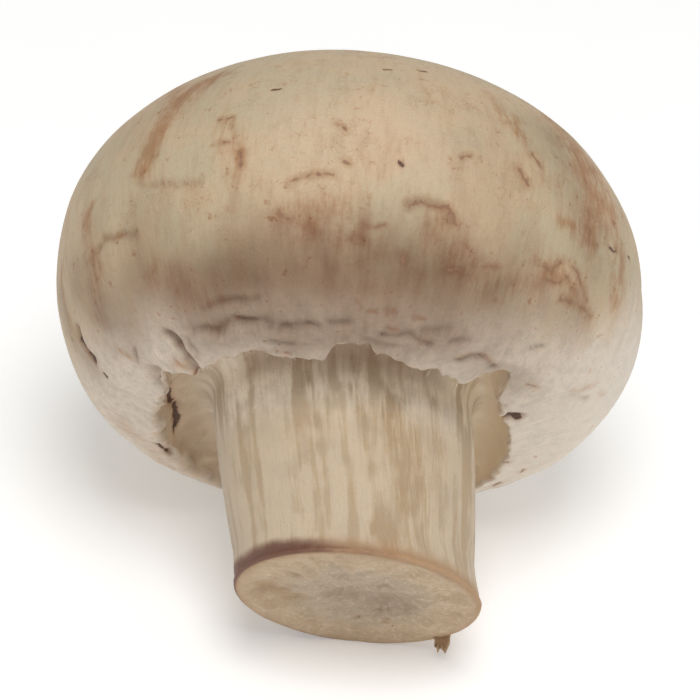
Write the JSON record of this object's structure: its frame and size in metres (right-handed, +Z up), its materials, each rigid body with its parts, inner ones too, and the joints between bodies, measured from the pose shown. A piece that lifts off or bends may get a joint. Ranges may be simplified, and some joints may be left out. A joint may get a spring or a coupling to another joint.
{
  "type": "button mushroom",
  "caption": "Picked button mushroom lying on its side: domed cap with a rolled, torn margin, short fibrous stem and a flat cut end.",
  "frame": {"origin": "middle of the mushroom's bounding box, on the ground that it lies on", "axes": "+Z up. The mushroom lies on its side: its stem points towards -Y and down, its cap's crown towards +Y and up, and +X is across the cap"},
  "size_m": [0.056, 0.0558, 0.0526],
  "materials": {
    "mushroom_flesh": "matt, slightly silky cream skin with brown bruises, fibrous stem and spongy cut flesh"
  },
  "bodies": {
    "root": {"mushroom": "mushroom_flesh"}
  },
  "joints": []
}
